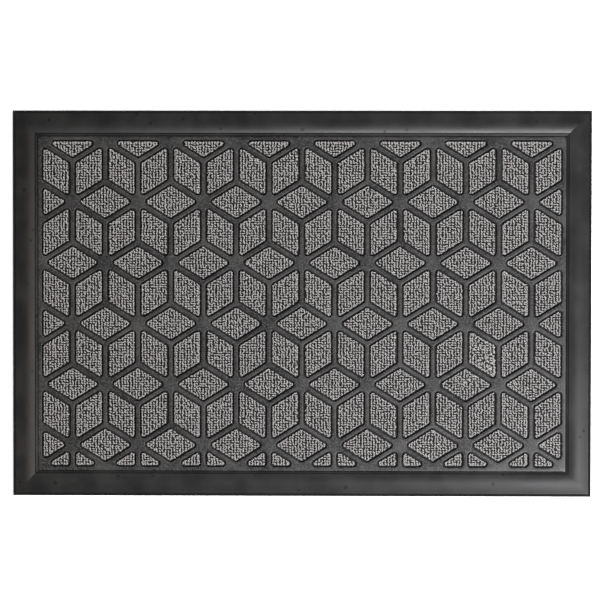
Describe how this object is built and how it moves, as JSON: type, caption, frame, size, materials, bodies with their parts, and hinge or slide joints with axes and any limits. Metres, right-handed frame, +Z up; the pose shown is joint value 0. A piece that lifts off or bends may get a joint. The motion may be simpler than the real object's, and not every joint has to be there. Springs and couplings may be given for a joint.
{
  "type": "door mat",
  "caption": "Rectangular rubber-framed door mat: loop-pile carpet pads standing through a rubber tumbling-block lattice, with a sloping mitred border.",
  "frame": {"origin": "centre of the underside, on the floor", "axes": "+X along the long side, +Y along the short side towards the row of cut-off pads, +Z up"},
  "size_m": [0.6, 0.4, 0.0076],
  "materials": {
    "backing_rubber": "matt, moulded, with anti-slip studs below",
    "border_rubber": "matt, moulded, faint mottling",
    "loop_pile_carpet": "loop pile of thick grey polypropylene yarn",
    "lattice_rubber": "matt, moulded, fine fibre mottling"
  },
  "bodies": {
    "root": {"backing_sheet": "backing_rubber", "border_frame": "border_rubber", "carpet_sheet": "loop_pile_carpet", "lattice_panel": "lattice_rubber"}
  },
  "joints": []
}
